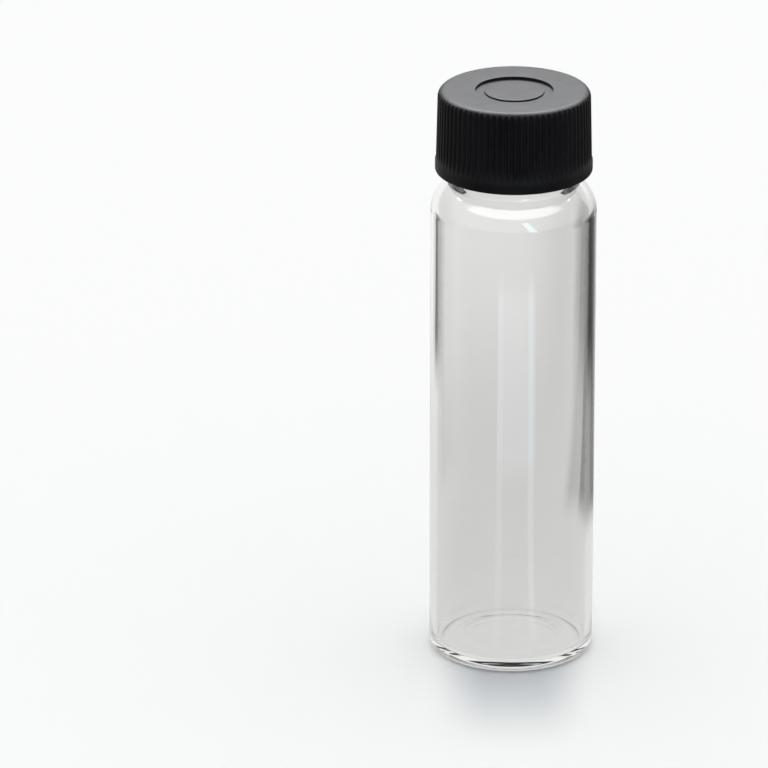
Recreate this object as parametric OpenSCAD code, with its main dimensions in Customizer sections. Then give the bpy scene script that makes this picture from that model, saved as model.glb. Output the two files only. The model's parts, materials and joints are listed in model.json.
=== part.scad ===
// Glass sample vial with a continuous-thread neck, a ribbed screw cap and a flat liner.
// Millimetres, +Z up. The origin is the centre of the ring that the vial stands on.
// Every round profile is drawn in the X-Z plane as squares and circles, then revolved.

/* [Glass body] */
// Outer diameter of the body
body_d = 27.5; // [24:0.5:40]
// Height of the glass, from the standing ring to the rim
glass_h = 95; // [50:1:150]
// Thickness of the body wall
wall_t = 1.2; // [0.9:0.1:1.8]
// Thickness of the floor
floor_t = 1.5; // [1:0.1:3]
// Radius of the outer edge at the base
heel_r = 1.5; // [0.8:0.1:3]
// Radius of the corner between the wall and the floor, inside
floor_corner_r = 1.6; // [0.8:0.1:3]
// Height of the shallow hollow under the base
punt_h = 0.7; // [0.4:0.1:1.2]
// Width of the flat ring that the vial stands on, around that hollow
ring_w = 2.05; // [1:0.05:4]
// Radius of the rounded shoulder
shoulder_r = 6; // [4:0.5:9]

/* [Neck] */
// Diameter of the neck between the turns of its thread
neck_d = 21.3; // [18:0.1:28]
// Height of the straight neck, from the shoulder to the rim
neck_h = 11.5; // [10.5:0.1:16]
// Diameter of the mouth
mouth_d = 16.8; // [10:0.1:20.4]
// Radius of the hollow curve between the shoulder and the neck
neck_fillet_r = 1; // [0.5:0.1:1.5]
// Radius of the glass edge where the mouth opens into the body
throat_r = 2.6; // [0.6:0.1:3]
// Rounding of the rim's edges
rim_round_r = 0.5; // [0.2:0.1:0.8]

/* [Screw thread] */
// Rise of the thread in one turn, the same in the cap and on the neck
thread_pitch = 3.175; // [2.6:0.005:4]
// How far the ridge stands out from the neck
thread_depth = 1.05; // [0.7:0.05:1.4]
// Turns of ridge on the neck
neck_turns = 1.25; // [1:0.05:1.5]
// Turns of ridge in the cap
cap_turns = 1.5; // [1:0.05:1.75]
// Distance from the rim down to the middle of the neck ridge's top end
thread_drop = 2; // [1.8:0.05:2.4]
// Clearance between the cap's thread and the neck's, across the axis
thread_gap = 0.22; // [0.15:0.01:0.4]

/* [Liner] */
// Clearance between the liner's edge and the skirt around it
liner_gap = 0.92; // [0.2:0.02:1]
// Thickness of the liner
liner_t = 1.5; // [0.8:0.1:3.2]

/* [Screw cap] */
// Overall height of the cap
cap_h = 13.9; // [12.5:0.1:17]
// Thickness of the cap's top
cap_top_t = 2.25; // [1.6:0.05:3]
// Thickness of the skirt at the top of the ribs, ribs included
cap_wall_t = 0.7; // [0.65:0.05:2]
// How much wider the skirt's foot is than its top, on the radius
cap_draft = 0.3; // [0:0.05:0.6]
// Rounding of the cap's top edge
cap_edge_r = 1.2; // [0.4:0.1:1.5]
// Number of grip ribs
rib_count = 76; // [40:1:100]
// Depth of the valleys between the ribs
rib_depth = 0.3; // [0.15:0.05:0.4]
// Height of the plain collar at the cap's foot
collar_h = 1.9; // [1:0.1:3]
// How far the collar stands out from the ribs
collar_out = 0.1; // [0:0.02:0.4]
// Rounding of the collar's lower edge
collar_edge_r = 0.4; // [0.2:0.1:0.8]
// Chamfer inside the cap's foot, which leads it onto the neck
lead_in = 0.4; // [0.1:0.05:0.5]
// Diameter of the round recess in the cap's top
recess_d = 12.8; // [8:0.1:16]
// Depth of that recess
recess_depth = 0.55; // [0.3:0.05:0.9]
// Diameter of the low disc inside the recess
disc_d = 9.8; // [5:0.1:12]
// Height of that disc above the recess's floor
disc_h = 0.3; // [0.1:0.05:0.5]

/* [Hidden] */
$fn = 96;

// Smallest overlap that fuses two shapes of one piece
BITE = 0.01;
// How far a cutting shape runs out past the face that it opens
CUT = 1;
// Facets of the very large circle that the floor's curve is part of
BALL_FN = 720;
// How deep a thread ridge's root is sunk into the wall that carries it
ROOT_SINK = 0.25;
// Width of a ridge at its root, as a share of the pitch
RIDGE_SHARE = 0.6;
// Section of a ridge: each point's share of its height and of half its width
RIDGE_SECTION = [[0, -1], [0.8, -0.5], [1, -0.22], [1, 0.22], [0.8, 0.5], [0, 1]];
// Share of its height that a ridge keeps at its very ends, still under the wall's surface
BURIED_SHARE = 0.08;
// Steps in one turn of a ridge, and turns over which each of its ends fades out
STEPS_PER_TURN = 36;
FADE_TURNS = 0.12;
// Share of a rib's spacing that its crest and its foot take up
RIB_CREST_SHARE = 0.42;
RIB_FOOT_SHARE = 0.78;
// Least skirt left beside the rounding of the collar's lower edge
COLLAR_LAND = 0.2;

// Glass
body_r = body_d / 2;
neck_r = neck_d / 2;
mouth_r = mouth_d / 2;
neck_foot_z = glass_h - neck_h;
shoulder_z = neck_foot_z - neck_rise(body_r, neck_r, shoulder_r, neck_fillet_r);
rim_round = min(rim_round_r, (neck_r - mouth_r) / 3);
punt_r = body_r - heel_r - ring_w;
// The hollow under the base is part of a large sphere, and the floor follows it
punt_ball_r = (punt_r * punt_r + punt_h * punt_h) / (2 * punt_h);
floor_ball_r = punt_ball_r + floor_t;
floor_r = body_r - wall_t;
floor_edge_z = punt_h - punt_ball_r + sqrt(floor_ball_r * floor_ball_r - floor_r * floor_r);

// Thread
thread_r = neck_r + thread_depth;
cap_bore_r = thread_r + thread_gap;
cap_thread_r = neck_r + thread_gap;
neck_thread_z = glass_h - thread_drop - neck_turns * thread_pitch;
cap_thread_z = neck_thread_z - thread_pitch / 2;

// Liner and cap
liner_z = glass_h;
liner_r = cap_bore_r - liner_gap;
ceiling_z = liner_z + liner_t;
cap_top_z = ceiling_z + cap_top_t;
cap_foot_z = cap_top_z - cap_h;
cap_top_r = cap_bore_r + cap_wall_t;
cap_foot_r = cap_top_r + cap_draft;
collar_r = cap_foot_r + collar_out;
collar_round = min(collar_edge_r, collar_r - cap_bore_r - COLLAR_LAND);

// Height from the centre of the shoulder's curve to the foot of the straight neck
function neck_rise(wide_r, narrow_r, curve_r, fillet_r) =
    let (across = max(0, narrow_r + fillet_r - (wide_r - curve_r)))
    sqrt(pow(curve_r + fillet_r, 2) - across * across);

// Half outline of a round bottle shape: straight body, shoulder curve, fillet, straight neck
module bottle_outline(wide_r, narrow_r, curve_r, fillet_r, bottom_z, curve_z, top_z) {
    curve_x = wide_r - curve_r;
    across = max(0, narrow_r + fillet_r - curve_x);
    rise = neck_rise(wide_r, narrow_r, curve_r, fillet_r);
    share = curve_r / (curve_r + fillet_r);
    meet_x = curve_x + across * share;
    meet_z = curve_z + rise * share;
    translate([0, bottom_z])
        square([wide_r, curve_z - bottom_z]);
    intersection() {
        translate([curve_x, curve_z])
            circle(r = curve_r);
        translate([0, curve_z - BITE])
            square([wide_r, meet_z - curve_z + BITE]);
    }
    translate([0, curve_z - BITE])
        square([meet_x, meet_z - curve_z + BITE]);
    difference() {
        translate([0, meet_z - BITE])
            square([narrow_r + fillet_r, curve_z + rise - meet_z + BITE]);
        translate([narrow_r + fillet_r, curve_z + rise])
            circle(r = fillet_r);
        translate([meet_x, meet_z - 2 * BITE])
            square([fillet_r + across, 2 * BITE]);
    }
    translate([0, curve_z])
        square([narrow_r, top_z - curve_z]);
}

// The square corner outside a quarter round centred on [0, 0], to be cut away.
// quarter turns it: 0 is out and up, 1 is in and up, 3 is out and down
module corner_waste(r, quarter) {
    rotate(90 * quarter)
        difference() {
            square([r + BITE, r + BITE]);
            circle(r = r);
        }
}

// Share of a ridge's full height at one turn along it: it fades in and out at its ends
function ridge_share(turn, turns) =
    let (edge = min(1, min(turn, turns - turn) / FADE_TURNS))
    max(BURIED_SHARE, edge * edge * (3 - 2 * edge));

// A screw ridge that stands on the round face wall_r and reaches tip_r, inwards or outwards.
// Its middle starts at height base_z on the +X side and rises anticlockwise, seen from above
module thread_ridge(wall_r, tip_r, turns, base_z) {
    outward = sign(tip_r - wall_r);
    root_r = wall_r - outward * ROOT_SINK;
    half_w = thread_pitch * RIDGE_SHARE / 2;
    steps = round(turns * STEPS_PER_TURN);
    count = len(RIDGE_SECTION);
    points = [
        for (i = [0:steps], p = RIDGE_SECTION)
        let (turn = turns * i / steps)
        let (r = root_r + (tip_r - root_r) * p[0] * ridge_share(turn, turns))
        [r * cos(360 * turn), r * sin(360 * turn), base_z + thread_pitch * turn + half_w * p[1]]
    ];
    sides = [
        for (i = [0:steps - 1], j = [0:count - 1])
        let (a = count * i + j, b = count * i + (j + 1) % count)
        each [[a, b, b + count], [a, b + count, a + count]]
    ];
    first_end = [for (j = [count - 1:-1:0]) j];
    last_end = [for (j = [0:count - 1]) count * steps + j];
    faces = concat(sides, [first_end, last_end]);
    // The list above faces outwards on a neck, and runs the other way round in a cap
    polyhedron(points, outward > 0 ? faces : [for (f = faces) [for (k = [len(f) - 1:-1:0]) f[k]]]);
}

module vial_outside() {
    difference() {
        bottle_outline(body_r, neck_r, shoulder_r, neck_fillet_r, 0, shoulder_z, glass_h);
        translate([body_r - heel_r, heel_r])
            corner_waste(heel_r, 3);
        translate([neck_r - rim_round, glass_h - rim_round])
            corner_waste(rim_round, 0);
        translate([mouth_r + rim_round, glass_h - rim_round])
            corner_waste(rim_round, 1);
        translate([0, punt_h - punt_ball_r])
            circle(r = punt_ball_r, $fn = BALL_FN);
    }
}

module vial_inside() {
    difference() {
        bottle_outline(floor_r, mouth_r, shoulder_r - wall_t, throat_r, 0, shoulder_z, glass_h + CUT);
        translate([0, punt_h - punt_ball_r])
            circle(r = floor_ball_r, $fn = BALL_FN);
        translate([floor_r - floor_corner_r, floor_edge_z + floor_corner_r])
            corner_waste(floor_corner_r, 3);
    }
}

module glass_vial() {
    color([0.86, 0.93, 0.94, 0.4])
        union() {
            rotate_extrude()
                difference() {
                    vial_outside();
                    vial_inside();
                }
            thread_ridge(neck_r, thread_r, neck_turns, neck_thread_z);
        }
}

module cap_liner() {
    color([0.93, 0.93, 0.91])
        translate([0, 0, liner_z])
            cylinder(r = liner_r, h = liner_t);
}

// Half outline of the cap's outside, with its skirt moved in by inset
module cap_outline(inset) {
    side_z = cap_top_z - cap_edge_r;
    polygon([
        [0, cap_foot_z],
        [cap_foot_r - inset, cap_foot_z],
        [cap_top_r - inset, side_z],
        [cap_top_r - cap_edge_r, cap_top_z],
        [0, cap_top_z]
    ]);
    intersection() {
        translate([cap_top_r - cap_edge_r, side_z])
            circle(r = cap_edge_r);
        translate([0, side_z - BITE])
            square([cap_top_r - inset, cap_edge_r + 2 * BITE]);
    }
}

module collar_outline() {
    difference() {
        translate([0, cap_foot_z])
            square([collar_r, collar_h]);
        translate([collar_r - collar_round, cap_foot_z + collar_round])
            corner_waste(collar_round, 3);
    }
}

// Star whose points are the ribs. The skirt's own outline trims them to length and draft
module rib_star() {
    pitch_angle = 360 / rib_count;
    tip_r = cap_foot_r + CUT;
    valley_r = cap_top_r - rib_depth - ROOT_SINK;
    crest_half = pitch_angle * RIB_CREST_SHARE / 2;
    foot_half = pitch_angle * RIB_FOOT_SHARE / 2;
    polygon([
        for (i = [0:rib_count - 1])
        let (middle = i * pitch_angle)
        each [
            valley_r * [cos(middle - foot_half), sin(middle - foot_half)],
            tip_r * [cos(middle - crest_half), sin(middle - crest_half)],
            tip_r * [cos(middle + crest_half), sin(middle + crest_half)],
            valley_r * [cos(middle + foot_half), sin(middle + foot_half)]
        ]
    ]);
}

module cap_hollow() {
    translate([0, cap_foot_z - CUT])
        square([cap_bore_r, ceiling_z - cap_foot_z + CUT]);
    polygon([
        [0, cap_foot_z - BITE],
        [cap_bore_r + lead_in + BITE, cap_foot_z - BITE],
        [cap_bore_r, cap_foot_z + lead_in],
        [0, cap_foot_z + lead_in]
    ]);
}

module top_recess() {
    floor_z = cap_top_z - recess_depth;
    difference() {
        translate([0, floor_z])
            square([recess_d / 2, recess_depth + CUT]);
        translate([0, floor_z - CUT])
            square([disc_d / 2, disc_h + CUT]);
    }
}

module screw_cap() {
    color([0.1, 0.1, 0.105])
        union() {
            difference() {
                union() {
                    intersection() {
                        translate([0, 0, cap_foot_z])
                            linear_extrude(cap_h)
                                rib_star();
                        rotate_extrude()
                            cap_outline(0);
                    }
                    rotate_extrude() {
                        cap_outline(rib_depth);
                        collar_outline();
                    }
                }
                rotate_extrude() {
                    cap_hollow();
                    top_recess();
                }
            }
            thread_ridge(cap_bore_r, cap_thread_r, cap_turns, cap_thread_z);
        }
}

glass_vial();
screw_cap();
cap_liner();
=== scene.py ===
import json
import math

import bpy
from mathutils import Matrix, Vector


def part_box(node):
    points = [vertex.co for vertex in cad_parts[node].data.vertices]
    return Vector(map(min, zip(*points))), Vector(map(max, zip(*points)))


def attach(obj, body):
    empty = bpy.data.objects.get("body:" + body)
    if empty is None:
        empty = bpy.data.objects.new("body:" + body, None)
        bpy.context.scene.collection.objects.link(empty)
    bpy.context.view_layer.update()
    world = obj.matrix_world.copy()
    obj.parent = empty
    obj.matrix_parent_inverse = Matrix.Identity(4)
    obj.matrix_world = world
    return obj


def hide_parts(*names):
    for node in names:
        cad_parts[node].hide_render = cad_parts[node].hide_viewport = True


# A glass sample vial with a ribbed screw cap, in the CAD's own frame.
# Lengths are metres. Outlines are lists of (radius, height) and are turned about Z.

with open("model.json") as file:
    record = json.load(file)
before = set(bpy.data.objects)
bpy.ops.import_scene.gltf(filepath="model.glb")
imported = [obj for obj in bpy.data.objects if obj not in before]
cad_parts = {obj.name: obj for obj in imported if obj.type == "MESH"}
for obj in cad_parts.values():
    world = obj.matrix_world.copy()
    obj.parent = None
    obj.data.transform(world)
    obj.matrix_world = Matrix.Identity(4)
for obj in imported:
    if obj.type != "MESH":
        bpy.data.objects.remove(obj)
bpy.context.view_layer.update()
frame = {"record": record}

MM = 0.001

# ---------------------------------------------------------------- sizes from the frame
vial_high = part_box("glass_vial")[1]
cap_low, cap_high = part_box("screw_cap")
liner_low, liner_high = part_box("cap_liner")
mounts = {m["name"]: m for m in frame["record"]["mounts"]}
coupling = frame["record"]["behaviour"]["couplings"][0]

GLASS_TOP = vial_high[2]
BODY_R = mounts["body_wall"]["dims"]["r_mm"] * MM
CAP_FOOT = cap_low[2]
CAP_TOP = cap_high[2]
COLLAR_R = cap_high[0]
CEILING = liner_high[2]
LINER_R = liner_high[0]
PITCH = coupling["ratio"] * 2 * math.pi

# ---------------------------------------------------------------- sizes as built in CAD
WALL = 1.2 * MM
FLOOR_T = 1.5 * MM
HEEL_R = 1.5 * MM
FLOOR_CORNER_R = 1.6 * MM
PUNT_H = 0.7 * MM
RING_W = 2.05 * MM
SHOULDER_R = 6 * MM
NECK_R = 10.65 * MM
NECK_H = 11.5 * MM
MOUTH_R = 8.4 * MM
NECK_FILLET_R = 1 * MM
THROAT_R = 2.6 * MM
RIM_ROUND = 0.5 * MM
THREAD_DEPTH = 1.05 * MM
THREAD_GAP = 0.22 * MM
NECK_TURNS = 1.25
CAP_TURNS = 1.5
THREAD_DROP = 2 * MM
RIDGE_SHARE = 0.6
RIDGE_FLANK = 0.62
FADE_TURNS = 0.12

CAP_WALL = 0.7 * MM
CAP_DRAFT = 0.3 * MM
CAP_EDGE_R = 1.2 * MM
RIB_COUNT = 76
RIB_DEPTH = 0.3 * MM
COLLAR_H = 1.9 * MM
COLLAR_EDGE_R = 0.4 * MM
LEAD_IN = 0.4 * MM
RECESS_R = 6.4 * MM
RECESS_DEPTH = 0.55 * MM
DISC_R = 4.9 * MM
DISC_H = 0.3 * MM

# ---------------------------------------------------------------- sizes of the looks alone
RING_MARK_R = 8 * MM
RING_MARK_W = 1.6 * MM
RING_MARK_DEPTH = 0.12 * MM
RIB_RUN_OUT = 2 * MM
RIB_FLAT = 0.15
COLLAR_EASE = 0.35 * MM
BORE_PLAIN_H = 2.5 * MM
NECK_PLAIN_H = 0.5 * MM
TINY_R = 0.08 * MM
LINER_EDGE_R = 0.15 * MM
CORNER_LEAD = 0.3 * MM
SLIVER = 0.1 * MM
HAIR = 0.02 * MM
SAME = 0.01 * MM
VIAL_COLUMNS = 224
COLUMNS_A_RIB = 8
LINER_COLUMNS = 128

# ---------------------------------------------------------------- camera
CAMERA_AT = (-0.02141, -1.1556, 0.5011)
CAMERA_PITCH = 21.464
CAMERA_LENS = 349.0
CAMERA_SENSOR = 36

camera = bpy.data.objects.new("camera", bpy.data.cameras.new("camera"))
camera.data.sensor_width = CAMERA_SENSOR
camera.data.lens = CAMERA_LENS
camera.data.clip_start = 0.01
camera.location = CAMERA_AT
camera.rotation_euler = (math.radians(90 - CAMERA_PITCH), 0, 0)
bpy.context.scene.collection.objects.link(camera)
bpy.context.scene.camera = camera


# ---------------------------------------------------------------- outlines
def smooth(x):
    """0 to 1 with level ends."""
    x = min(1.0, max(0.0, x))
    return x * x * (3 - 2 * x)


def arc(centre, r, start, end, steps):
    """Points on a circle from start to end degrees, 0 outwards and 90 up, both ends included."""
    angles = [math.radians(start + (end - start) * i / steps) for i in range(steps + 1)]
    return [(centre[0] + r * math.cos(a), centre[1] + r * math.sin(a)) for a in angles]


def line(a, b, spacing):
    """Points from a to b, about spacing apart, without either end."""
    steps = max(1, round(math.dist(a, b) / spacing))
    across, up = (b[0] - a[0]) / steps, (b[1] - a[1]) / steps
    return [(a[0] + across * i, a[1] + up * i) for i in range(1, steps)]


def run(*stretches, spacing=1 * MM):
    """Joins lists of points, with straight lines across the gaps between them."""
    points = list(stretches[0])
    for stretch in stretches[1:]:
        points += line(points[-1], stretch[0], spacing)
        points += stretch
    return points


def shoulder(wide_r, narrow_r, curve_r, fillet_r, curve_z, steps):
    """A shoulder's curve and the hollow curve into the neck, from the body upwards."""
    curve_x = wide_r - curve_r
    across = narrow_r + fillet_r - curve_x
    rise = math.sqrt((curve_r + fillet_r) ** 2 - across ** 2)
    lean = math.degrees(math.atan2(rise, across))
    first = arc((curve_x, curve_z), curve_r, 0, lean, steps)
    second = arc((narrow_r + fillet_r, curve_z + rise), fillet_r, 180 + lean, 180, steps // 2)
    return first + second[1:]


def ridge(angle, z, base_z, turns):
    """Share of a thread ridge's height at an angle and height. The ridge rises anticlockwise."""
    turn_here = angle / (2 * math.pi)
    best = 0.0
    for whole in range(-1, math.ceil(turns) + 1):
        turn = turn_here + whole
        if not 0 <= turn <= turns:
            continue
        off = abs(z - base_z - PITCH * turn) / (PITCH * RIDGE_SHARE / 2)
        if off >= 1:
            continue
        section = min(1.0, (1 - off) / RIDGE_FLANK)
        best = max(best, smooth(section) * smooth(min(turn, turns - turn) / FADE_TURNS))
    return best


# ---------------------------------------------------------------- meshes
def turned(name, outline, columns, shape=None):
    """A closed mesh from an outline that starts and ends on the axis. shape may change a point's radius."""
    verts = []
    rows = []
    for r, z in outline:
        if r == 0:
            rows.append([len(verts)])
            verts.append((0.0, 0.0, z))
            continue
        first = len(verts)
        for i in range(columns):
            a = 2 * math.pi * i / columns
            here = shape(r, z, a) if shape else r
            verts.append((here * math.cos(a), here * math.sin(a), z))
        rows.append(list(range(first, first + columns)))
    faces = []
    for low, high in zip(rows, rows[1:]):
        for i in range(columns):
            j = (i + 1) % columns
            if len(low) == 1:
                faces.append((low[0], high[j], high[i]))
            elif len(high) == 1:
                faces.append((low[i], low[j], high[0]))
            else:
                faces.append((low[i], low[j], high[j], high[i]))
    mesh = bpy.data.meshes.new(name)
    mesh.from_pydata(verts, [], faces)
    mesh.update()
    mesh.polygons.foreach_set("use_smooth", [True] * len(faces))
    piece = bpy.data.objects.new(name, mesh)
    bpy.context.scene.collection.objects.link(piece)
    return piece


# ---------------------------------------------------------------- materials
# Noise scales are in cycles per metre, and colours and roughness are (low, high) pairs
NOISE_RANGE = (0.3, 0.7)
GLASS_DRIFT, GLASS_WAVES, GLASS_WAVE_H = 60.0, 90.0, 0.02 * MM
GLASS_COLOURS = (0.868, 0.866, 0.856), (0.888, 0.886, 0.876)
CAP_CLOUD, CAP_GRAIN, CAP_GRAIN_H = 300.0, 9000.0, 0.012 * MM
CAP_COLOURS = (0.0012, 0.0010, 0.0015), (0.0024, 0.0021, 0.0029)
CAP_ROUGHNESS = 0.48, 0.56
CAP_SHINE = 0.1
LINER_CLOUD, LINER_GRAIN, LINER_GRAIN_H = 500.0, 5000.0, 0.006 * MM
LINER_COLOURS = (0.80, 0.80, 0.78), (0.86, 0.86, 0.84)
LINER_ROUGHNESS = 0.35, 0.45


def new_material(name):
    material = bpy.data.materials.new(name)
    material.use_nodes = True
    nodes = material.node_tree.nodes
    return material, nodes, material.node_tree.links, nodes["Principled BSDF"]


def noise(nodes, links, scale, detail=2.0, stretch=(1, 1, 1)):
    """Noise over the piece's own coordinates. scale is in cycles per metre."""
    where = nodes.new("ShaderNodeTexCoord")
    mapping = nodes.new("ShaderNodeMapping")
    mapping.inputs["Scale"].default_value = stretch
    texture = nodes.new("ShaderNodeTexNoise")
    texture.inputs["Scale"].default_value = scale
    texture.inputs["Detail"].default_value = detail
    links.new(where.outputs["Object"], mapping.inputs["Vector"])
    links.new(mapping.outputs["Vector"], texture.inputs["Vector"])
    return texture.outputs["Fac"]


def ramp(nodes, links, source, low, high):
    """Colours from low to high, over most of the noise's range."""
    mix = nodes.new("ShaderNodeValToRGB")
    for element, position, colour in zip(mix.color_ramp.elements, NOISE_RANGE, (low, high)):
        element.position = position
        element.color = (*colour, 1)
    links.new(source, mix.inputs["Fac"])
    return mix.outputs["Color"]


def spread(nodes, links, source, low, high):
    """A number from low to high, over most of the noise's range."""
    mapped = nodes.new("ShaderNodeMapRange")
    mapped.inputs["From Min"].default_value = NOISE_RANGE[0]
    mapped.inputs["From Max"].default_value = NOISE_RANGE[1]
    mapped.inputs["To Min"].default_value = low
    mapped.inputs["To Max"].default_value = high
    links.new(source, mapped.inputs["Value"])
    return mapped.outputs["Result"]


def bump(nodes, links, source, height):
    node = nodes.new("ShaderNodeBump")
    node.inputs["Distance"].default_value = height
    node.inputs["Strength"].default_value = 1.0
    links.new(source, node.inputs["Height"])
    return node.outputs["Normal"]


def glass_material():
    """Clear glass with a trace of warmth, drawn in slow waves along its length."""
    material, nodes, links, shader = new_material("clear_glass")
    shader.inputs["Transmission Weight"].default_value = 1.0
    shader.inputs["IOR"].default_value = 1.5
    shader.inputs["Roughness"].default_value = 0.0
    drift = noise(nodes, links, GLASS_DRIFT)
    links.new(ramp(nodes, links, drift, *GLASS_COLOURS), shader.inputs["Base Color"])
    waves = noise(nodes, links, GLASS_WAVES, stretch=(1, 1, 0.25))
    links.new(bump(nodes, links, waves, GLASS_WAVE_H), shader.inputs["Normal"])
    return material


def cap_material():
    """Black moulded plastic, with a fine matt grain."""
    material, nodes, links, shader = new_material("matte_black_plastic")
    shader.inputs["Specular IOR Level"].default_value = CAP_SHINE
    cloud = noise(nodes, links, CAP_CLOUD, detail=4.0)
    links.new(ramp(nodes, links, cloud, *CAP_COLOURS), shader.inputs["Base Color"])
    links.new(spread(nodes, links, cloud, *CAP_ROUGHNESS), shader.inputs["Roughness"])
    grain = noise(nodes, links, CAP_GRAIN)
    links.new(bump(nodes, links, grain, CAP_GRAIN_H), shader.inputs["Normal"])
    return material


def liner_material():
    """The white facing of the sealing disc."""
    material, nodes, links, shader = new_material("white_liner_facing")
    cloud = noise(nodes, links, LINER_CLOUD, detail=3.0)
    links.new(ramp(nodes, links, cloud, *LINER_COLOURS), shader.inputs["Base Color"])
    links.new(spread(nodes, links, cloud, *LINER_ROUGHNESS), shader.inputs["Roughness"])
    grain = noise(nodes, links, LINER_GRAIN)
    links.new(bump(nodes, links, grain, LINER_GRAIN_H), shader.inputs["Normal"])
    return material


# ---------------------------------------------------------------- the vial
def vial_outline():
    """The glass, from under the middle of its base, up and over the rim, and down to its floor inside."""
    punt_r = BODY_R - HEEL_R - RING_W
    ball_r = (punt_r ** 2 + PUNT_H ** 2) / (2 * PUNT_H)
    ball_z = PUNT_H - ball_r
    floor_ball = ball_r + FLOOR_T
    inner_r = BODY_R - WALL
    neck_foot = GLASS_TOP - NECK_H
    across = NECK_R + NECK_FILLET_R - (BODY_R - SHOULDER_R)
    curve_z = neck_foot - math.sqrt((SHOULDER_R + NECK_FILLET_R) ** 2 - across ** 2)

    def ball(radius, edge_r, pressed=0.0, steps=48):
        """Points on the base's large curve, from the axis out to edge_r, with the middle pressed down."""
        radii = [edge_r * i / steps for i in range(steps + 1)]
        press = [pressed * smooth((RING_MARK_R - r) / RING_MARK_W + 0.5) for r in radii]
        return [(r, ball_z + math.sqrt(radius ** 2 - r ** 2) - low) for r, low in zip(radii, press)]

    corner_r = inner_r - FLOOR_CORNER_R
    corner_floor = ball_z + math.sqrt(floor_ball ** 2 - corner_r ** 2)
    outside = run(
        ball(ball_r, punt_r),
        [(punt_r + HAIR, 0.0)],
        arc((BODY_R - HEEL_R, HEEL_R), HEEL_R, -90, 0, 14),
        shoulder(BODY_R, NECK_R, SHOULDER_R, NECK_FILLET_R, curve_z, 28),
        [(NECK_R, neck_foot + NECK_PLAIN_H)],
        spacing=2.5 * MM,
    )
    rim = arc((NECK_R - RIM_ROUND, GLASS_TOP - RIM_ROUND), RIM_ROUND, 0, 90, 8)
    neck = run([outside[-1]], rim, spacing=0.11 * MM)
    mouth = arc((MOUTH_R + RIM_ROUND, GLASS_TOP - RIM_ROUND), RIM_ROUND, 90, 180, 8)
    inside = shoulder(inner_r, MOUTH_R, SHOULDER_R - WALL, THROAT_R, curve_z, 24)[::-1]
    corner = arc((corner_r, corner_floor + FLOOR_CORNER_R), FLOOR_CORNER_R, 0, -90, 14)
    floor = ball(floor_ball, corner_r - CORNER_LEAD, RING_MARK_DEPTH)[::-1]
    return run(outside, neck[1:], mouth, inside, corner, floor, spacing=2.5 * MM)


def vial_shape(r, z, angle):
    """The neck's thread, on the outer wall only."""
    if abs(r - NECK_R) > SAME or z < GLASS_TOP - NECK_H:
        return r
    base_z = GLASS_TOP - THREAD_DROP - NECK_TURNS * PITCH
    return r + THREAD_DEPTH * ridge(angle, z, base_z, NECK_TURNS)


vial = turned("vial_glass", vial_outline(), VIAL_COLUMNS, vial_shape)
vial.data.materials.append(glass_material())
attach(vial, "vial")
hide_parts("glass_vial")

# ---------------------------------------------------------------- the cap
THREAD_R = NECK_R + THREAD_DEPTH
BORE_R = THREAD_R + THREAD_GAP
CAP_TOP_R = BORE_R + CAP_WALL
SIDE_TOP = CAP_TOP - CAP_EDGE_R
COLLAR_TOP = CAP_FOOT + COLLAR_H


def skirt_r(z):
    """Radius over the ribs at a height."""
    share = min(1.0, (SIDE_TOP - z) / (SIDE_TOP - CAP_FOOT))
    return CAP_TOP_R + CAP_DRAFT * max(0.0, share)


def cap_outline():
    """The cap from the middle of its top, down the outside, under the foot and up inside to its ceiling."""
    recess_floor = CAP_TOP - RECESS_DEPTH
    disc_top = recess_floor + DISC_H
    top = run(
        [(0.0, disc_top)],
        arc((DISC_R - TINY_R, disc_top - TINY_R), TINY_R, 90, 0, 4),
        arc((DISC_R + TINY_R, recess_floor + TINY_R), TINY_R, 180, 270, 4),
        arc((RECESS_R - TINY_R, recess_floor + TINY_R), TINY_R, 270, 360, 4),
        arc((RECESS_R + TINY_R, CAP_TOP - TINY_R), TINY_R, 180, 90, 4),
        arc((CAP_TOP_R - CAP_EDGE_R, SIDE_TOP), CAP_EDGE_R, 90, 0, 14),
        spacing=0.8 * MM,
    )
    eased = COLLAR_TOP + COLLAR_EASE
    skirt = run([top[-1]], [(skirt_r(eased), eased)], spacing=0.5 * MM)
    collar = [(COLLAR_R, COLLAR_TOP - SLIVER)]
    foot = arc((COLLAR_R - COLLAR_EDGE_R, CAP_FOOT + COLLAR_EDGE_R), COLLAR_EDGE_R, 0, -90, 10)
    lead = [(BORE_R + LEAD_IN, CAP_FOOT), (BORE_R, CAP_FOOT + LEAD_IN)]
    thread_low = CAP_FOOT + LEAD_IN + SLIVER
    bore = run([(BORE_R, thread_low)], [(BORE_R, CEILING - BORE_PLAIN_H)], spacing=0.15 * MM)
    ceiling = [(BORE_R, CEILING - SLIVER), (BORE_R - SLIVER, CEILING), (0.0, CEILING)]
    return run(top, skirt[1:], collar, foot, lead, bore, ceiling, spacing=0.8 * MM)


def cap_shape(r, z, angle):
    """Grip ribs on the skirt, and the thread inside."""
    if z > COLLAR_TOP and r > BORE_R + SLIVER:
        phase = 0.5 - 0.5 * math.cos(RIB_COUNT * angle)
        depth = max(0.0, r - (skirt_r(z) - RIB_DEPTH)) * smooth((z - COLLAR_TOP) / RIB_RUN_OUT)
        return r - depth * smooth((phase - RIB_FLAT) / (1 - 2 * RIB_FLAT))
    if abs(r - BORE_R) < SAME:
        base_z = GLASS_TOP - THREAD_DROP - NECK_TURNS * PITCH - PITCH / 2
        return r - THREAD_DEPTH * ridge(angle, z, base_z, CAP_TURNS)
    return r


cap = turned("black_cap", cap_outline()[::-1], RIB_COUNT * COLUMNS_A_RIB, cap_shape)
cap.data.materials.append(cap_material())
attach(cap, "cap")
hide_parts("screw_cap")


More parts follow.
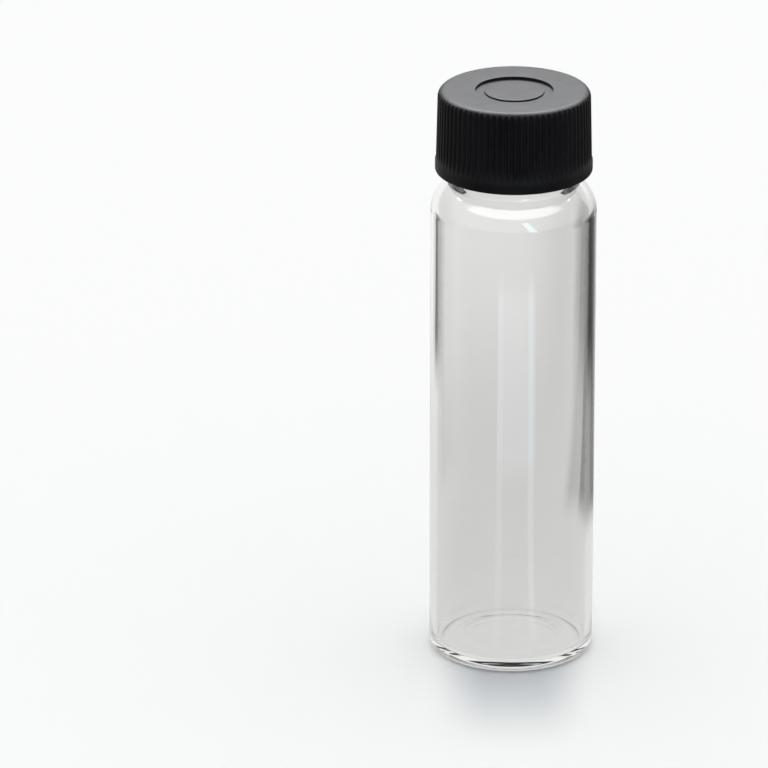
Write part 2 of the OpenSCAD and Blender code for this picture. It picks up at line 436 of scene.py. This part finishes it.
# ---------------------------------------------------------------- the liner
def liner_outline():
    low = liner_low[2]
    return run(
        [(0.0, low)],
        arc((LINER_R - LINER_EDGE_R, low + LINER_EDGE_R), LINER_EDGE_R, -90, 0, 5),
        arc((LINER_R - LINER_EDGE_R, CEILING - LINER_EDGE_R), LINER_EDGE_R, 0, 90, 5),
        [(0.0, CEILING)],
    )


liner = turned("white_liner", liner_outline(), LINER_COLUMNS)
liner.data.materials.append(liner_material())
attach(liner, "liner")
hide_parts("cap_liner")


# ---------------------------------------------------------------- the studio
# Bearings and tilts are degrees seen from the vial's axis, distances are metres from it,
# and lights are radiances beside a white wall's 1
ROOM_LIGHT = 1.0
STUDIO_HALF = 3.0
WHITE = (1.0, 1.0, 1.0)

FLOOR_LEVEL = -0.05 * MM
FLOOR_WHITE = (0.965, 0.975, 0.97)
# Painted shadow: the grey painted into the floor in front of the vial, for its soft shadow and blurred
# reflection
FLOOR_PAINTED_SHADOW = (0.60, 0.63, 0.66)
PAINTED_SHADOW_REACH = 0.048, 0.012
PAINTED_SHADOW_FRONT = 0.010, -0.012
PAINTED_SHADOW_SIDE = 0.0145, 0.004

# Two hidden tables of painted light and shade: glowing sheets seen only in the glass's reflections or
# through it, with painted dark cards and painted window light
TABLE_LEVEL = -0.4 * MM
TABLE_WHITE = 0.80
TABLE_LEFT_EXTRA = 0.2
LEFT_EXTRA_TURN = 9, 1
LEFT_EXTRA_FROM = 0.08, 0.2
TABLE_UNDER_VIAL = 0.82
UNDER_VIAL = 0.045, 0.018
FRONT_SHARE = 75, 125
# Each painted dark card starts at one bearing, is full at the next, and then darkens the table's glow by a
# share
NEAR_CARDS = (12, 16, 0.36), (21, 23.5, 0.56), (32, 37, -0.4)
FAR_CARDS = (11, 14, 0.29), (14.5, 16.5, 0.34), (24, 27, 0.29)
NEAR_CARDS_FROM = 0.055, 0.075
FAR_CARDS_FROM = 0.11, 0.16
RIGHT_CARDS_END = 78, 58
LEFT_CARD = -62, -37
LEFT_CARD_FROM = 0.12, 0.16
LEFT_CARD_DARK = 0.88
CARDS_REACH = 0.34, 0.25
# Painted window light in the mirrored table, seen as painted reflections in the glass: bearings off
# straight ahead, and strength
BROAD_WINDOW, BROAD_LIGHT = (-19, 28), 1.4
BROAD_REACH = 0.115, 0.185
NARROW_WINDOW, NARROW_LIGHT = (21, 26), 1.6
FAINT_WINDOW, FAINT_LIGHT = (-20, -14), 0.8
NARROW_REACH = 0.21, 0.19
DIM_FRONT, DIM_FRONT_NEAR = 0.03, 0.45
DIM_FRONT_REACH = 0.16, 0.08
GLASS_FRONT_NEAR, GLASS_FRONT_FAR = 0.72, 0.9
GLASS_FRONT_TURN = 0.2, 0.3
WINDOW_BLUE = (0.70, 0.88, 1.0)
BLUE_RANGE = 0.3, 1.8

RING_R = 0.6
RING_HEIGHT = 0.08
RING_LOW, RING_HIGH = -6, 80
REAR_LIGHT, REAR_WIDTH, REAR_TILT = 42.0, (68, 50), (42, 66)
FRONT_LIGHT, FRONT_WIDTH, FRONT_TILT = 5.5, (80, 105), (42, 66)
PANE_LIGHT, PANE_BEARING, PANE_TILT = 6.0, (151, 159), (-3, 26)
PANE_LEAN = -0.35
LAMP_WHITE = (0.97, 0.985, 1.0)
PANE_BLUE = (0.55, 0.85, 1.0)


class Maths:
    """Short names for node arithmetic in one node tree."""

    def __init__(self, tree):
        self.nodes, self.links = tree.nodes, tree.links

    def op(self, operation, *values):
        """One Math node. A value is a number or another node's output."""
        node = self.nodes.new("ShaderNodeMath")
        node.operation = operation
        for socket, value in zip(node.inputs, values):
            if isinstance(value, (int, float)):
                socket.default_value = value
            else:
                self.links.new(value, socket)
        return node.outputs["Value"]

    def mul(self, *values):
        result = values[0]
        for value in values[1:]:
            result = self.op("MULTIPLY", result, value)
        return result

    def add(self, *values):
        result = values[0]
        for value in values[1:]:
            result = self.op("ADD", result, value)
        return result

    def rest(self, value):
        """What is left of 1."""
        return self.op("SUBTRACT", 1.0, value)

    def step(self, value, start, end, low=0.0, high=1.0):
        """low before start and high after end, smooth between. start may be above end."""
        node = self.nodes.new("ShaderNodeMapRange")
        node.interpolation_type = "SMOOTHSTEP"
        node.inputs["From Min"].default_value = start
        node.inputs["From Max"].default_value = end
        node.inputs["To Min"].default_value = low
        node.inputs["To Max"].default_value = high
        self.links.new(value, node.inputs["Value"])
        return node.outputs["Result"]

    def band(self, value, low, high, soft):
        """1 between low and high, with soft edges outside them."""
        return self.mul(self.step(value, low - soft, low), self.step(value, high + soft, high))

    def cards(self, bearing, cards):
        """The share of the table's glow that painted dark cards take away."""
        return self.add(*[self.step(bearing, start, full, 0.0, dark) for start, full, dark in cards])

    def place(self):
        """The x, y and z of a point in the frame."""
        where = self.nodes.new("ShaderNodeTexCoord")
        split = self.nodes.new("ShaderNodeSeparateXYZ")
        self.links.new(where.outputs["Object"], split.inputs["Vector"])
        return split.outputs

    def from_axis(self, x, y):
        return self.op("SQRT", self.add(self.mul(x, x), self.mul(y, y)))

    def bearing(self, x, y):
        """Degrees from straight behind the vial, 0, to the camera's side, 180. Positive is to the right."""
        return self.mul(self.op("ARCTAN2", x, y), 180 / math.pi)

    def tinted(self, factor, plain, tint):
        """plain, turning to tint as factor goes to 1."""
        mix = self.nodes.new("ShaderNodeMix")
        mix.data_type = "RGBA"
        mix.inputs["A"].default_value = (*plain, 1)
        mix.inputs["B"].default_value = (*tint, 1)
        self.links.new(factor, mix.inputs["Factor"])
        return mix.outputs["Result"]


def studio_world():
    """The same soft white light from everywhere."""
    world = bpy.data.worlds.new("studio")
    world.use_nodes = True
    background = world.node_tree.nodes["Background"]
    background.inputs["Color"].default_value = (1.0, 1.0, 1.0, 1)
    background.inputs["Strength"].default_value = ROOM_LIGHT
    bpy.context.scene.world = world


def flat_square(name, level):
    """A large level square."""
    half = STUDIO_HALF
    corners = [(-half, -half, level), (half, -half, level), (half, half, level), (-half, half, level)]
    mesh = bpy.data.meshes.new(name)
    mesh.from_pydata(corners, [], [(0, 1, 2, 3)])
    square = bpy.data.objects.new(name, mesh)
    bpy.context.scene.collection.objects.link(square)
    return square


def only_for(piece, mirrored, through_glass):
    """Hides a lit surface from everything but mirrored rays, or rays through glass, or both."""
    piece.visible_camera = False
    piece.visible_diffuse = False
    piece.visible_shadow = False
    piece.visible_glossy = mirrored
    piece.visible_transmission = through_glass


def studio_floor():
    """A white sheet with a painted shadow: grey painted into its colour just in front of the vial, for the
    vial's soft shadow and its blurred reflection.
    """
    floor = flat_square("floor", FLOOR_LEVEL)
    floor.visible_glossy = False
    floor.visible_transmission = False
    material, nodes, links, shader = new_material("white_sheet_painted_shadow")
    nodes.remove(shader)
    m = Maths(material.node_tree)
    x, y, z = m.place()
    reach = m.step(m.from_axis(x, y), *PAINTED_SHADOW_REACH)
    side = m.step(m.op("ABSOLUTE", x), *PAINTED_SHADOW_SIDE)
    # painted shadow: the floor's colour turns grey in front of the vial, in place of its shadow and
    # reflection
    painted_shadow = m.mul(reach, m.step(y, *PAINTED_SHADOW_FRONT), side)
    matte = nodes.new("ShaderNodeBsdfDiffuse")
    links.new(m.tinted(painted_shadow, FLOOR_WHITE, FLOOR_PAINTED_SHADOW), matte.inputs["Color"])
    links.new(matte.outputs[0], nodes["Material Output"].inputs["Surface"])
    floor.data.materials.append(material)


def painted_table_behind(m, bearing, distance):
    """Painted glow: white, brighter far to the left, with painted dark cards at both sides."""
    leftwards = m.mul(m.step(bearing, *LEFT_EXTRA_TURN), m.step(distance, *LEFT_EXTRA_FROM))
    left_extra = m.mul(leftwards, TABLE_LEFT_EXTRA)
    white = m.add(TABLE_WHITE, left_extra)
    far = m.step(distance, *FAR_CARDS_FROM)
    near = m.mul(m.step(distance, *NEAR_CARDS_FROM), m.rest(far))
    right = m.add(m.mul(near, m.cards(bearing, NEAR_CARDS)), m.mul(far, m.cards(bearing, FAR_CARDS)))
    dark_right = m.mul(right, m.step(bearing, *RIGHT_CARDS_END))
    dark_left = m.mul(m.band(bearing, *LEFT_CARD, 2), m.step(distance, *LEFT_CARD_FROM), LEFT_CARD_DARK)
    cards = m.mul(m.add(dark_right, dark_left), m.step(distance, *CARDS_REACH))
    return m.mul(white, m.rest(cards))


def painted_window_light(m, bearing, distance):
    """Painted window light across the table in front, which the glass shows as painted reflections."""
    off = m.op("SUBTRACT", 180.0, m.op("ABSOLUTE", bearing))
    ahead = m.mul(off, m.op("SIGN", bearing))
    reach = m.step(distance, *NARROW_REACH)
    broad = m.mul(m.band(ahead, *BROAD_WINDOW, 3), m.band(distance, *BROAD_REACH, 0.02), BROAD_LIGHT)
    narrow = m.mul(m.band(ahead, *NARROW_WINDOW, 2), reach, NARROW_LIGHT)
    faint = m.mul(m.band(ahead, *FAINT_WINDOW, 2), reach, FAINT_LIGHT)
    return m.add(broad, narrow, faint)


def painted_glow_table(name, mirrored):
    """What the glass and the cap see in place of the floor: a hidden sheet whose glow is painted light and
    shade.

    The mirrored one is painted dim in front, with painted window light, seen as painted reflections. The
    other is seen through glass.
    """
    table = flat_square(name, TABLE_LEVEL)
    only_for(table, mirrored, not mirrored)
    material, nodes, links, shader = new_material(name)
    nodes.remove(shader)
    m = Maths(material.node_tree)
    x, y, z = m.place()
    bearing = m.bearing(x, y)
    distance = m.from_axis(x, y)
    share = m.step(m.op("ABSOLUTE", bearing), *FRONT_SHARE)
    glow = nodes.new("ShaderNodeEmission")
    if mirrored:
        windows = painted_window_light(m, bearing, distance)
        front = m.add(DIM_FRONT, m.step(distance, *DIM_FRONT_REACH, 0.0, DIM_FRONT_NEAR), windows)
        blue = m.mul(m.step(windows, *BLUE_RANGE), share)
        links.new(m.tinted(blue, WHITE, WINDOW_BLUE), glow.inputs["Color"])
    else:
        front = m.step(distance, *GLASS_FRONT_TURN, GLASS_FRONT_NEAR, GLASS_FRONT_FAR)
        glow.inputs["Color"].default_value = (*WHITE, 1)
    around = m.add(m.mul(painted_table_behind(m, bearing, distance), m.rest(share)), m.mul(front, share))
    under = m.step(distance, *UNDER_VIAL)
    strength = m.add(m.mul(around, m.rest(under)), m.mul(under, TABLE_UNDER_VIAL))
    links.new(strength, glow.inputs["Strength"])
    links.new(glow.outputs[0], nodes["Material Output"].inputs["Surface"])
    table.data.materials.append(material)


def ring_mesh(turns=72, rise=12):
    """Part of a ball round the vial, from RING_LOW to RING_HIGH degrees up."""
    verts = []
    for j in range(rise + 1):
        up = math.radians(RING_LOW + (RING_HIGH - RING_LOW) * j / rise)
        out, level = RING_R * math.cos(up), RING_HEIGHT + RING_R * math.sin(up)
        for i in range(turns):
            turn = 2 * math.pi * i / turns
            verts.append((out * math.sin(turn), out * math.cos(turn), level))
    faces = []
    for low in range(0, rise * turns, turns):
        for i in range(turns):
            k = (i + 1) % turns
            faces.append((low + i, low + k, low + turns + k, low + turns + i))
    mesh = bpy.data.meshes.new("light_ring")
    mesh.from_pydata(verts, [], faces)
    return mesh


def light_ring():
    """Soft lights seen only as highlights: overhead behind, all round in front, and one blue pane."""
    mesh = ring_mesh()
    ring = bpy.data.objects.new("light_ring", mesh)
    bpy.context.scene.collection.objects.link(ring)
    only_for(ring, True, False)
    material, nodes, links, shader = new_material("soft_lights")
    nodes.remove(shader)
    m = Maths(material.node_tree)
    x, y, z = m.place()
    bearing = m.bearing(x, y)
    off = m.op("ABSOLUTE", bearing)
    rise = m.mul(m.op("SUBTRACT", z, RING_HEIGHT), 1 / RING_R)
    tilt = m.mul(m.op("ARCSINE", rise), 180 / math.pi)
    rear = m.mul(m.step(off, *REAR_WIDTH), m.band(tilt, *REAR_TILT, 6), REAR_LIGHT)
    front = m.mul(m.step(off, *FRONT_WIDTH), m.band(tilt, *FRONT_TILT, 8), FRONT_LIGHT)
    leaning = m.add(bearing, m.mul(tilt, PANE_LEAN))
    pane = m.mul(m.band(leaning, *PANE_BEARING, 2), m.band(tilt, *PANE_TILT, 2), PANE_LIGHT)
    glow = nodes.new("ShaderNodeEmission")
    links.new(m.add(rear, front, pane), glow.inputs["Strength"])
    links.new(m.tinted(m.step(pane, 0.0, 1.0), LAMP_WHITE, PANE_BLUE), glow.inputs["Color"])
    clear = nodes.new("ShaderNodeBsdfTransparent")
    both = nodes.new("ShaderNodeAddShader")
    links.new(glow.outputs[0], both.inputs[0])
    links.new(clear.outputs[0], both.inputs[1])
    links.new(both.outputs[0], nodes["Material Output"].inputs["Surface"])
    mesh.materials.append(material)


studio_world()
studio_floor()
painted_glow_table("painted_reflection_table", True)
painted_glow_table("painted_through_glass_table", False)
light_ring()

scene = bpy.context.scene
scene.view_settings.view_transform = "Standard"
scene.cycles.max_bounces = 40
scene.cycles.transmission_bounces = 32
scene.cycles.transparent_max_bounces = 12
scene.cycles.glossy_bounces = 32
